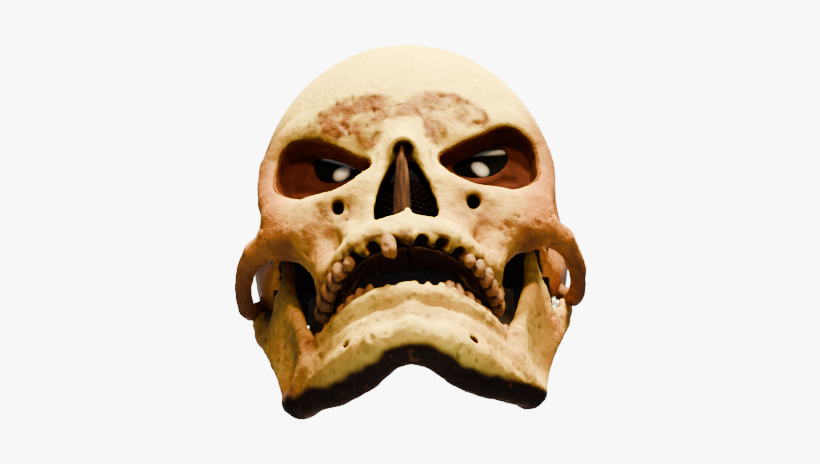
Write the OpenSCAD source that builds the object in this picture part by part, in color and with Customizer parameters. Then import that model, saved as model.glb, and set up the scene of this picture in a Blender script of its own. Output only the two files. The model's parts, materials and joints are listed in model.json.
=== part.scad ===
// Skull costume mask with a hinged lower jaw.
// Millimetres. The face looks along -Y, +X is the right of somebody facing it, +Z is up.
// The origin is midway between the wearer's ears. Left and right are those of somebody facing the mask.

/* [Cranium] */
// Half width of the cranium
cranium_rx = 97; // [95:1:99]
// Half depth of the cranium
cranium_ry = 129; // [127:1:131]
// Half height of the cranium
cranium_rz = 102; // [100:1:104]
// Height of the cranium's centre
cranium_z = 63; // [62:1:64]
// Thickness of the latex skin
wall = 4; // [3.5:0.5:4.5]

/* [Face] */
// Half distance between the centres of the eyes
eye_x = 46; // [45:0.5:47]
// Height of the eyes
eye_z = 30; // [29:0.5:31]
// How far the eye lenses lie in front of the ears
eye_y = 92; // [91:0.5:93]
// Outward turn of each eye lens
eye_turn = 20; // [18:1:22]
// Height of the upper gum line
gum_z = -60; // [-61:0.5:-59]
// Height of the shell's lower edge beside the ears
edge_z = 5; // [4.5:0.5:6]

/* [Jaw] */
// Distance of the hinge in front of the ears
hinge_y = 17; // [16:0.5:18]
// Height of the hinge
hinge_z = -6; // [-6.5:0.5:-5.5]
// Half distance between the inner faces of the hinge brackets
hinge_x = 79; // [78.5:0.5:79.5]

/* [Hinge hardware] */
// Radius of the pivot post
post_r = 3; // [2.5:0.1:3.2]
// Running clearance round the pivot post
post_gap = 0.05; // [0.02:0.01:0.08]
// Radius of the rounded ends of the hinge plates
lug_r = 8; // [7.5:0.1:8.5]
// Thickness of the hinge plates
plate_t = 2; // [1.8:0.1:2]

/* [Straps] */
// Width of the elastic webbing
strap_w = 25; // [20:1:26]
// Thickness of the elastic webbing
strap_t = 1.6; // [1.4:0.1:1.8]
// Height of the head band
band_z = 64; // [63:0.5:65]
// How far the head band lies behind the ears
band_y = 47; // [46:0.5:48]

/* [Hidden] */

cranium_c = [0, 0, cranium_z];
cranium_r = [cranium_rx, cranium_ry, cranium_rz];
// The forehead's bulge, which the skin is stretched over together with the cranium
forehead_c = [0, -30, 80];
forehead_r = [90, 100, 88];
// The temples widen the skull low down, beside the ears.
temple_c = [0, -28, 22];
temple_r = [90, 72, 50];
skin = [wall, wall, wall];
// The open back is cut along a plane that rises from the ears to the crown.
rim_slope = atan(1.03);
rim_rise = 7;
// The shell stops this far in front of the ears below its lower edge: the cheeks behind are open.
cheek_y = 66;

// The eye socket narrows to this share of its rim at the lens.
socket_taper = 0.78;
socket_depth = 22;
socket_wall = 2.5;
// The lens's place along its own axis: the socket's floor lies in front of it and the ring behind it.
lens_y = -4;
lens_t = 2;
ring_t = 2.5;
lens_lap = 1.5;

// The hollow under the gum, behind the upper teeth
vault_c = [0, -88, -62];
vault_r = [38, 38, 16];
liner_t = 1.5;

// The room for the wearer's nose
nose_c = [0, -98, -14];
nose_r = [18, 22, 26];
mesh_t = 2;

stud_high = [74, -50, 12];
stud_low = [62, -45, -52];
stud_r = 2;
cord_r = 1.5;
tab_len = 26;
strap_top = [0, 101, 119];
strap_low = [0, band_y + 1.5, band_z + 4];
strap_run = strap_top - strap_low;
strap_angle = atan2(strap_run[2], strap_run[1]);

pivot = [-hinge_y, hinge_z];
plate_x = hinge_x + plate_t + 1;
strip_w = 12;
strip_len = 32;
strip_lean = -17;
side_gap = 0.3;
head_t = 1.7;
head_r = 6;

// The jaw's stations from the chin to its corner: x, y, z, half thickness, half height
jaw_stations = [
    [0, -114.5, -101, 8.5, 24], [16, -111, -100, 8.5, 24], [29, -101, -97, 8, 21],
    [37, -90, -93, 7.5, 19], [46, -76, -89, 6.5, 18], [55, -62, -86, 6, 17], [62, -48, -86, 5, 16]
];
// The cheekbone's stations from the cheek to the ear, in the same form
arch_stations = [
    [74, -86, -4, 8, 15], [85, -77, -8, 7, 16], [94, -66, -11, 5.5, 14], [99, -54, -8, 4.5, 11],
    [100.5, -41, -2, 4, 9], [99, -28, 5, 4, 8], [93, -14, 13, 5, 8], [86, -3, 17, 5, 9]
];
// The drape's stations from the mouth to the jaw's corner: x, y, z, half thickness, half height
drape_stations = [
    [0, -97, -59.7, 0.8, 18], [16, -94, -59.7, 0.8, 18], [28, -85.5, -59.7, 0.8, 18],
    [37, -75, -59, 0.8, 19], [45, -63, -57, 0.8, 26], [52, -53, -51, 0.8, 30], [58, -43.5, -46, 0.8, 30]
];

// Teeth: x, y, z, half width, half height
upper_tooth_rows = [
    [-18, -126, -61, 6, 9], [-36.5, -109, -61, 5, 8], [-40.5, -101, -61, 5, 8], [-44, -91, -60, 5.5, 8],
    [-46.5, -80, -60, 5.5, 8], [38, -107, -61, 5, 8], [42, -98, -61, 5, 8], [45, -88, -60, 5.5, 8],
    [47, -77, -60, 5.5, 8]
];
lower_tooth_rows = [
    [-25, -106, -76, 4.5, 9], [-32, -99, -75, 4.5, 7], [-37, -91, -75.5, 5, 7], [-43, -82, -75.5, 5, 7],
    [-50, -71, -75.5, 5.5, 7], [26, -105, -76, 4.5, 8], [32.5, -98, -75.5, 4.5, 7],
    [37.5, -90, -75.5, 5, 7], [43.5, -81, -75.5, 5, 7], [50.5, -70, -75.5, 5.5, 7]
];

function mirrored(s) = [for (i = [len(s) - 1:-1:1]) [-s[i][0], s[i][1], s[i][2], s[i][3], s[i][4]]];
function whole(s) = concat(mirrored(s), s);
function place(s) = [s[0], s[1], s[2]];
function heading(s, i) = place(s[min(i + 1, len(s) - 1)]) - place(s[max(i - 1, 0)]);
function outward(v) = [v[1], -v[0], 0] / norm([v[0], v[1]]);
function squared(v) = sign(v) * pow(abs(v), 0.7);
function round_ring(s, i, n) = [
    for (k = [0:n - 1])
        place(s[i]) + outward(heading(s, i)) * s[i][3] * squared(cos(360 * k / n))
            + [0, 0, s[i][4]] * squared(sin(360 * k / n))
];
function flat_ring(s, i) = [
    for (k = [[1, -1], [1, 1], [-1, 1], [-1, -1]])
        place(s[i]) + outward(heading(s, i)) * s[i][3] * k[0] + [0, 0, s[i][4]] * k[1]
];

// A closed skin over rings that all have the same number of points
module loft(rings) {
    n = len(rings[0]);
    m = len(rings);
    sides = [
        for (i = [0:m - 2], k = [0:n - 1])
            [i * n + k, i * n + (k + 1) % n, (i + 1) * n + (k + 1) % n, (i + 1) * n + k]
    ];
    start = [for (k = [n - 1:-1:0]) k];
    end = [for (k = [0:n - 1]) (m - 1) * n + k];
    polyhedron(points = [for (r = rings) for (p = r) p], faces = concat([start], sides, [end]));
}

module round_loft(s, n = 16) {
    loft([for (i = [0:len(s) - 1]) round_ring(s, i, n)]);
}

module blob(c, r, fn = 32) {
    translate(c) scale(r) sphere(r = 1, $fn = fn);
}

module pair() {
    children();
    mirror([1, 0, 0]) children();
}

module left() {
    mirror([1, 0, 0]) children();
}

// An outline in the side view, made into a plate of thickness t from x outwards
module side_plate(x, t) {
    translate([x, 0, 0]) rotate([90, 0, 90]) linear_extrude(t) children();
}

module side_rod(x, y, z, r, length) {
    translate([x, y, z]) rotate([0, 90, 0]) cylinder(r = r, h = length, $fn = 48);
}

// Skull

module cranium_solid(inset) {
    hull() {
        blob(cranium_c, cranium_r - inset * [1, 1, 1], 48);
        blob(forehead_c, forehead_r - inset * [1, 1, 1], 48);
    }
}

module skull_solid() {
    cranium_solid(0);
    hull() blob(temple_c, temple_r, 40);
    // brow
    hull() {
        pair() blob([50, -88, 50], [24, 24, 15], 24);
        blob([0, -108, 49], [22, 22, 17], 24);
    }
    // outer rims of the eyes
    pair() hull() {
        blob([67, -84, 46], [11, 14, 11], 20);
        blob([68, -82, 4], [11, 13, 12], 20);
    }
    // middle of the face, with the cheekbones' roots
    hull() {
        pair() blob([62, -80, 0], [14, 13, 17], 24);
        pair() blob([24, -103, -30], [18, 18, 20], 24);
        blob([0, -104, 34], [20, 18, 20], 24);
    }
    // bridge of the nose
    hull() {
        blob([0, -113, 40], [9, 12, 9], 20);
        pair() blob([13, -108, -4], [8, 15, 12], 20);
        blob([0, -126, 20], [7, 11, 7], 20);
    }
    // gum
    hull() {
        blob([0, -112, -50], [24, 21, 18], 32);
        pair() blob([32, -92, -50], [17, 20, 18], 32);
        pair() blob([37, -76, -46], [13, 14, 16], 24);
    }
}

module face_space() {
    hull() {
        blob([0, -46, 25], [72, 55, 45], 32);
        blob([0, -52, -55], [50, 50, 40], 32);
    }
}

module head_space() {
    cranium_solid(wall);
    hull() blob(temple_c, temple_r - skin, 40);
    face_space();
    hull() blob(nose_c, nose_r, 24);
}

// Everything below and behind the open back's rim
module open_back() {
    translate([0, 0, rim_rise]) rotate([rim_slope, 0, 0]) translate([-200, -400, -400]) cube([400, 800, 400]);
}

module nose_outline() {
    polygon([
        [0, 17], [6, 15], [9, 9], [13, 0], [17, -14], [18, -24], [14, -34], [7, -35],
        [0, -31], [-7, -35], [-14, -34], [-18, -24], [-17, -14], [-13, 0], [-9, 9], [-6, 15]
    ]);
}

module nose_prism(y0, y1) {
    translate([0, y1, 0]) rotate([90, 0, 0]) linear_extrude(y1 - y0) nose_outline();
}

module eye_frame() {
    translate([eye_x, -eye_y, eye_z]) rotate([0, 0, eye_turn]) children();
}

module eye_outline(inset = 0) {
    hull() {
        translate([13, 18]) circle(r = 10 - inset, $fn = 32);
        translate([11, -6]) circle(r = 13 - inset, $fn = 32);
        translate([-12, -15]) circle(r = 11 - inset, $fn = 32);
        translate([-24, -13]) circle(r = 10 - inset, $fn = 32);
    }
}

module eye_slab(y, t, size, inset = 0) {
    translate([0, y, 0]) rotate([90, 0, 0]) mirror([0, 0, 1]) linear_extrude(t) scale(size) eye_outline(inset);
}

module eye_cone(inset = 0) {
    translate([0, -socket_depth, 0]) rotate([90, 0, 0]) mirror([0, 0, 1])
        linear_extrude(socket_depth + lens_y, scale = socket_taper) eye_outline(inset);
}

// The slanted outline of the see-through lens, grown all round
module lens_outline(grow = 0) {
    offset(r = grow) polygon([
        [10, 15], [8, 23], [2, 23], [-8, 15.5], [-19, 5], [-24, -2], [-23, -7.5], [-14, -9.5], [-2, -4.5], [6, 3.5]
    ]);
}

module lens_slab(y, t, grow) {
    translate([0, y, 0]) rotate([90, 0, 0]) mirror([0, 0, 1]) linear_extrude(t) lens_outline(grow);
}

module eye_hole() {
    eye_frame() {
        eye_slab(-socket_depth - 25, 25.01, 1);
        eye_cone();
        eye_slab(lens_y - 0.01, 20, socket_taper);
    }
}

module skull_shell() {
    color("ivory") difference() {
        skull_solid();
        // room for the head, kept clear of the blocks that the hinge brackets are riveted to
        difference() {
            head_space();
            pair() translate([hinge_x + plate_t, -32, edge_z]) cube([20, 30, 34]);
        }
        // flat seats for the hinge brackets
        pair() translate([60, -32, -40]) cube([hinge_x + plate_t - 60, 30, 79]);
        open_back();
        translate([-150, -200, -200 + gum_z]) cube([300, 400, 200]);
        translate([-150, -cheek_y, -200 + edge_z]) cube([300, 200, 200]);
        hull() blob(vault_c, vault_r, 32);
        nose_prism(-160, -96);
        pair() eye_hole();
    }
}

module zygomatic_arch() {
    difference() {
        round_loft(arch_stations);
        skull_solid();
    }
}

module zygomatic_arch_right() {
    color("burlywood") zygomatic_arch();
}

module zygomatic_arch_left() {
    color("burlywood") left() zygomatic_arch();
}

module upper_teeth() {
    color("tan") for (t = upper_tooth_rows)
        intersection() {
            blob([t[0], t[1], t[2]], [t[3], t[3], t[4]]);
            translate([-100, -200, gum_z - 20]) cube([200, 200, 20]);
        }
}

module palate_liner() {
    color("#3a2320") difference() {
        intersection() {
            blob(vault_c, vault_r);
            translate([-60, -140, gum_z]) cube([120, 43, 40]);
        }
        blob(vault_c, vault_r - [liner_t, liner_t, liner_t]);
    }
}

module nasal_mesh() {
    color("#2a1c1a") intersection() {
        difference() {
            blob(nose_c, nose_r + [mesh_t, mesh_t, mesh_t]);
            blob(nose_c, nose_r);
        }
        nose_prism(-150, -104);
    }
}

module nasal_septum() {
    color("#6e4a3c") translate([-3, -133, -35]) cube([4, 12, 51]);
}

module eye_socket() {
    intersection() {
        skull_solid();
        eye_frame() {
            difference() {
                eye_cone();
                eye_cone(socket_wall);
            }
            difference() {
                eye_slab(lens_y - socket_wall, socket_wall, socket_taper);
                lens_slab(lens_y - socket_wall - 1, socket_wall + 2, 0);
            }
        }
    }
}

module eye_socket_right() {
    color("#4e2722") eye_socket();
}

module eye_socket_left() {
    color("#4e2722") left() eye_socket();
}

module eye_lens() {
    eye_frame() lens_slab(lens_y, lens_t, lens_lap);
}

module eye_lens_right() {
    color("#101010") eye_lens();
}

module eye_lens_left() {
    color("#101010") left() eye_lens();
}

module lens_ring() {
    eye_frame() difference() {
        lens_slab(lens_y + lens_t, ring_t, lens_lap);
        lens_slab(lens_y + lens_t - 1, ring_t + 2, -2);
    }
}

module lens_ring_right() {
    color("#202020") lens_ring();
}

module lens_ring_left() {
    color("#202020") left() lens_ring();
}

// Padding: a slice of the space just inside the cranium's skin
module skull_pad(t) {
    intersection() {
        difference() {
            cranium_solid(wall);
            cranium_solid(wall + t);
        }
        children();
    }
}

module forehead_pad() {
    color("#303030") skull_pad(18) translate([-45, -140, 72]) cube([90, 80, 34]);
}

module crown_pad() {
    color("#303030") skull_pad(12) translate([0, 5, 120]) cylinder(r = 42, h = 60, $fn = 48);
}

module temple_pad() {
    skull_pad(9) translate([40, -62, 58]) cube([60, 46, 34]);
}

module temple_pad_right() {
    color("#303030") temple_pad();
}

module temple_pad_left() {
    color("#303030") left() temple_pad();
}

// Hinge

module lug_outline(width, length, lean, grow = 0) {
    translate(pivot) {
        circle(r = lug_r + grow, $fn = 64);
        rotate(lean) translate([-width / 2 - grow, -length - grow]) square([width + 2 * grow, length + grow]);
    }
}

module bracket_holes() {
    for (z = [14, 28]) translate([-hinge_y, z]) circle(r = 2, $fn = 32);
}

module hinge_bracket() {
    side_plate(hinge_x, plate_t) difference() {
        lug_outline(2 * lug_r, 40, 180);
        translate(pivot) circle(r = post_r, $fn = 48);
        bracket_holes();
    }
}

module hinge_bracket_right() {
    color("silver") hinge_bracket();
}

module hinge_bracket_left() {
    color("silver") left() hinge_bracket();
}

module bracket_rivets() {
    color("silver") pair() for (z = [14, 28]) {
        side_rod(hinge_x - 1, -hinge_y, z, 3.5, 1);
        side_rod(hinge_x, -hinge_y, z, 2, 6);
    }
}

module pivot_post() {
    side_rod(hinge_x - head_t, -hinge_y, hinge_z, head_r, head_t);
    side_rod(hinge_x, -hinge_y, hinge_z, post_r, plate_x + plate_t - hinge_x + side_gap);
    side_rod(plate_x + plate_t + side_gap, -hinge_y, hinge_z, head_r, head_t);
}

module pivot_post_right() {
    color("silver") pivot_post();
}

module pivot_post_left() {
    color("silver") left() pivot_post();
}

module hinge_washers() {
    color("gainsboro") pair() difference() {
        side_rod(hinge_x + plate_t, -hinge_y, hinge_z, head_r, 1 - side_gap);
        side_rod(hinge_x, -hinge_y, hinge_z, post_r, 10);
    }
}

module jaw_rivet_places() {
    for (d = [15, 26]) translate(pivot) rotate(strip_lean) translate([0, -d]) children();
}

module jaw_plate() {
    side_plate(plate_x, plate_t) difference() {
        lug_outline(strip_w, strip_len, strip_lean);
        translate(pivot) circle(r = post_r + post_gap, $fn = 48);
        jaw_rivet_places() circle(r = 2, $fn = 32);
    }
}

module jaw_plate_right() {
    color("silver") jaw_plate();
}

module jaw_plate_left() {
    color("silver") left() jaw_plate();
}

module jaw_rivets() {
    color("silver") pair() {
        side_plate(plate_x - 0.8, 0.8) jaw_rivet_places() circle(r = 3.2, $fn = 48);
        side_plate(plate_x, plate_t + 2.5) jaw_rivet_places() circle(r = 2, $fn = 32);
    }
}

// Jaw

module ramus() {
    // neck and condyle
    hull() {
        blob([88, -17, -8], [4.5, 8.5, 9.5], 24);
        blob([80, -27, -38], [4, 8, 8], 24);
    }
    // coronoid process
    hull() {
        blob([69.5, -56, -4], [2.5, 4, 5], 24);
        blob([75, -53, -34], [4, 10, 8], 24);
    }
    // blade
    hull() {
        blob([80, -27, -38], [4, 8, 8], 24);
        blob([75, -54, -34], [4, 9, 9], 24);
        blob([68, -36, -85], [4.5, 11, 9], 24);
        blob([61, -62, -84], [5, 8, 15], 24);
    }
}

module hinge_pocket() {
    side_plate(hinge_x + plate_t, plate_x - hinge_x + side_gap) lug_outline(strip_w, strip_len, strip_lean, 0.4);
    side_rod(hinge_x, -hinge_y, hinge_z, lug_r + 1.2, plate_x + plate_t + head_t + 2 * side_gap - hinge_x);
}

module jaw_shell() {
    color("burlywood") difference() {
        union() {
            round_loft(whole(jaw_stations));
            pair() ramus();
            // chin
            hull() {
                pair() blob([14, -114, -119], [8, 7, 6], 24);
                blob([0, -116, -104], [6, 8, 6], 24);
            }
        }
        pair() hinge_pocket();
    }
}

module lower_teeth() {
    color("tan") for (t = lower_tooth_rows) blob([t[0], t[1], t[2]], [t[3], t[3], t[4]]);
}

module chin_cup() {
    color("#303030") difference() {
        intersection() {
            blob([0, -86, -82], [34, 21, 14]);
            translate([-60, -120, -112]) cube([120, 48, 34]);
        }
        blob([0, -82, -76], [29, 19, 14]);
    }
}

// Soft parts

module mouth_drape() {
    s = whole(drape_stations);
    color("#241816") loft([for (i = [0:len(s) - 1]) flat_ring(s, i)]);
}

// A ring lying in the side view, round an anchor stud
module eyelet(at) {
    translate(at) rotate([0, 90, 0]) rotate_extrude($fn = 48) translate([stud_r + 0.3 + cord_r, 0]) circle(r = cord_r, $fn = 24);
}

module jaw_elastic() {
    run = stud_low - stud_high;
    reach = norm(run);
    eyelet(stud_high);
    eyelet(stud_low);
    translate(stud_high) rotate([0, acos(run[2] / reach), atan2(run[1], run[0])]) translate([0, 0, stud_r + 1])
        cylinder(r = cord_r, h = reach - 2 * stud_r - 2, $fn = 24);
}

module jaw_elastic_right() {
    color("#202020") jaw_elastic();
}

module jaw_elastic_left() {
    color("#202020") left() jaw_elastic();
}

module shell_studs() {
    color("silver") pair() side_rod(stud_high[0] - 2, stud_high[1], stud_high[2], stud_r, 9);
}

module jaw_studs() {
    color("silver") pair() side_rod(stud_low[0] - 2, stud_low[1], stud_low[2], stud_r, 9);
}

// The band's ends turn forwards and lie flat on the inside of the skin.
module head_band() {
    color("#181818") {
        intersection() {
            translate([-100, band_y - strap_t, band_z - strap_w / 2]) cube([200, strap_t, strap_w]);
            cranium_solid(wall);
        }
        skull_pad(strap_t) pair() translate([60, band_y - tab_len, band_z - strap_w / 2]) cube([60, tab_len, strap_w]);
    }
}

module along_strap() {
    translate(strap_low) rotate([strap_angle, 0, 0]) children();
}

module crown_strap() {
    color("#181818") intersection() {
        union() {
            along_strap() translate([-strap_w / 2, 0, -strap_t / 2]) cube([strap_w, 100, strap_t]);
            skull_pad(strap_t) translate([-strap_w / 2, strap_top[1] - 20, 100]) cube([strap_w, 22, 60]);
        }
        cranium_solid(wall);
    }
}

// A rivet along its own X, with a flat head on each face
module rivet(length) {
    rotate([0, 90, 0]) {
        translate([0, 0, -0.8]) cylinder(r = 4, h = 0.8, $fn = 48);
        cylinder(r = 2, h = length, $fn = 48);
        translate([0, 0, length]) cylinder(r = 4, h = 0.8, $fn = 48);
    }
}

module strap_rivets() {
    color("silver") {
        pair() translate([86.9, 33, band_z]) rotate([0, 0, 12]) rivet(wall + strap_t + 0.6);
        translate([0, 91, 127.8]) rotate([-42, 0, 0]) rotate([0, -90, 0]) rivet(wall + strap_t + 0.6);
    }
}

// A flat keeper loop that the webbing runs through
module keeper(gap = 0.4) {
    difference() {
        translate([-strap_w / 2 - 3, -6, -3.2]) cube([strap_w + 6, 12, 6.4]);
        translate([-strap_w / 2 - gap, -10, -strap_t / 2 - gap]) cube([strap_w + 2 * gap, 20, strap_t + 2 * gap]);
    }
}

module band_slider() {
    color("#101010") translate([-40, band_y - strap_t / 2, band_z]) rotate([0, 90, 90]) keeper();
}

module crown_slider() {
    color("#101010") along_strap() translate([0, 32, 0]) keeper();
}

skull_shell();
zygomatic_arch_left();
zygomatic_arch_right();
upper_teeth();
palate_liner();
nasal_mesh();
nasal_septum();
eye_socket_left();
eye_socket_right();
eye_lens_left();
eye_lens_right();
lens_ring_left();
lens_ring_right();
forehead_pad();
crown_pad();
temple_pad_left();
temple_pad_right();
hinge_bracket_left();
hinge_bracket_right();
bracket_rivets();
pivot_post_left();
pivot_post_right();
hinge_washers();
head_band();
crown_strap();
strap_rivets();
band_slider();
crown_slider();
mouth_drape();
jaw_elastic_left();
jaw_elastic_right();
shell_studs();
jaw_studs();
jaw_shell();
lower_teeth();
chin_cup();
jaw_plate_left();
jaw_plate_right();
jaw_rivets();
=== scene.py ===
import copy
import itertools
import json
import math

import bmesh
import bpy
import numpy as np
import openvdb as vdb
from mathutils import Matrix, Vector

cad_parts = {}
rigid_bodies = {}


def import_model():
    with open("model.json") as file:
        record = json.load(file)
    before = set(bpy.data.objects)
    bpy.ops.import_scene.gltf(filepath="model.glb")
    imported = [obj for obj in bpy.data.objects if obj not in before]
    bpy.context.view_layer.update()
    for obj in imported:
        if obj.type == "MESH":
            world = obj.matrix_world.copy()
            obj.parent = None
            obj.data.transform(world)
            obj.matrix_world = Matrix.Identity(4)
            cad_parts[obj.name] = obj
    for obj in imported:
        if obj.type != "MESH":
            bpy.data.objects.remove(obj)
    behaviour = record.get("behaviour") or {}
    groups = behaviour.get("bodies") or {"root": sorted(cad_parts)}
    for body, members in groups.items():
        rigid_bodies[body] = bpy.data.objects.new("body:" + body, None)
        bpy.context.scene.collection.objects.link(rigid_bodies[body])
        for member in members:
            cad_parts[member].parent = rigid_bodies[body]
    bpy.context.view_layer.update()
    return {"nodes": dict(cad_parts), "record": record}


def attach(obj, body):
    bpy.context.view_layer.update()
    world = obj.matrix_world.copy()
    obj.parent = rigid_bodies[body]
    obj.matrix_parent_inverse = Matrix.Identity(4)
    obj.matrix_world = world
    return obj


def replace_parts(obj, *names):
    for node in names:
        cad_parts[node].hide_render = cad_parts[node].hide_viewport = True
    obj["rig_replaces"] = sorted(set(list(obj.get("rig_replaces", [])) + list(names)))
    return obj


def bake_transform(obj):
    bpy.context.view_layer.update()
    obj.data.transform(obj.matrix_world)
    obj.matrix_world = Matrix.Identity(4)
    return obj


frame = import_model()

# Sculpted shapes are given in millimetres and made in metres. The face looks along -Y.
MM = 0.001
FAR = 60.0
LEFT, RIGHT = -1, 1
SIDES = ((LEFT, "left"), (RIGHT, "right"))


# ---------------------------------------------------------------- clay: shapes as distances

def ellipsoid(centre, radii):
    """A distance function, with the box that holds the shape."""
    c = np.array(centre, float)
    r = np.array(radii, float)

    def distance(x, y, z):
        k0 = np.sqrt(((x - c[0]) / r[0]) ** 2 + ((y - c[1]) / r[1]) ** 2 + ((z - c[2]) / r[2]) ** 2)
        k1 = np.sqrt(((x - c[0]) / r[0] ** 2) ** 2 + ((y - c[1]) / r[1] ** 2) ** 2
                     + ((z - c[2]) / r[2] ** 2) ** 2)
        return k0 * (k0 - 1.0) / np.maximum(k1, 1e-6)
    return c - r, c + r, distance


def grown(shape, margin):
    """An ellipsoid, given by its centre and radii, made larger all round."""
    centre, radii = shape
    return ellipsoid(centre, np.array(radii) + margin)


def chain(points, squash=(1, 1, 1)):
    """A rounded tube through points (x, y, z, radius), stretched by squash along each axis."""
    s = np.array(squash, float)
    p = np.array([q[:3] for q in points], float) / s
    r = np.array([q[3] for q in points], float)
    low = (p - r[:, None]).min(0) * s
    high = (p + r[:, None]).max(0) * s

    def distance(x, y, z):
        x, y, z = x / s[0], y / s[1], z / s[2]
        best = None
        for a, b, ra, rb in zip(p[:-1], p[1:], r[:-1], r[1:]):
            e = b - a
            t = ((x - a[0]) * e[0] + (y - a[1]) * e[1] + (z - a[2]) * e[2]) / max(e @ e, 1e-9)
            t = unit(t)
            d = np.sqrt((x - a[0] - t * e[0]) ** 2 + (y - a[1] - t * e[1]) ** 2
                        + (z - a[2] - t * e[2]) ** 2) - (ra + (rb - ra) * t)
            best = d if best is None else np.minimum(best, d)
        return best * s.min()
    return low, high, distance


def outline_distance(u, v, points):
    """Signed distance in a plane to a closed outline, negative inside."""
    best = np.full(np.broadcast(u, v).shape, 1e9)
    inside = np.zeros(best.shape, bool)
    for (x0, y0), (x1, y1) in zip(points, np.roll(points, -1, axis=0)):
        ex, ey = x1 - x0, y1 - y0
        t = unit(((u - x0) * ex + (v - y0) * ey) / max(ex * ex + ey * ey, 1e-9))
        best = np.minimum(best, (u - x0 - ex * t) ** 2 + (v - y0 - ey * t) ** 2)
        if y0 != y1:
            inside ^= ((y0 <= v) != (y1 <= v)) & (u < x0 + (v - y0) * ex / ey)
    return np.sqrt(best) * np.where(inside, -1, 1)


def rounded(points, passes=2):
    """An outline with its corners cut, over and over."""
    p = np.array(points, float)
    for _ in range(passes):
        q = np.roll(p, -1, axis=0)
        p = np.stack([0.75 * p + 0.25 * q, 0.25 * p + 0.75 * q], 1).reshape(-1, 2)
    return p


def prism(points, frame_of, size, depth, taper=0.0, inset=0.0):
    """An outline pushed along w. frame_of turns x, y, z into u, v, w, and depth is w's range.
    The outline shrinks by taper for each millimetre of w past 0."""
    outline = rounded(points)
    centre, reach = size

    def distance(x, y, z):
        u, v, w = frame_of(x, y, z)
        shrink = np.clip(1.0 - taper * np.maximum(w, 0.0), 0.2, 1.0)
        side = outline_distance(u / shrink, v / shrink, outline) * shrink + inset
        return np.maximum(side, np.maximum(depth[0] - w, w - depth[1]))
    c = np.array(centre, float)
    return c - reach, c + reach, distance


def turned(centre, turn_z, mirror=1):
    """x, y, z into u (across), v (up) and w (into the head), for a frame at centre turned about Z."""
    cs, sn = math.cos(math.radians(turn_z)), math.sin(math.radians(turn_z))

    def to_frame(x, y, z):
        dx, dy = x * mirror - centre[0], y - centre[1]
        return dx * cs + dy * sn, z - centre[2], -dx * sn + dy * cs
    return to_frame


def unit(values):
    """Values held between 0 and 1."""
    return np.clip(values, 0, 1)


def smooth_min(a, b, k):
    """The smaller of two distances, with the corner filled over k."""
    if k <= 0:
        return np.minimum(a, b)
    h = np.maximum(k - np.abs(a - b), 0.0) / k
    return np.minimum(a, b) - h * h * k * 0.25


def mix_corners(first, share, value):
    """Mixes the values at the eight corners of each point's cell. share is how far it is from the first."""
    total = 0.0
    for dx, dy, dz in itertools.product((0, 1), repeat=3):
        weight = np.abs(1 - dx - share[:, 0]) * np.abs(1 - dy - share[:, 1]) * np.abs(1 - dz - share[:, 2])
        total = total + weight * value(first[:, 0] + dx, first[:, 1] + dy, first[:, 2] + dz)
    return total


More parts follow.
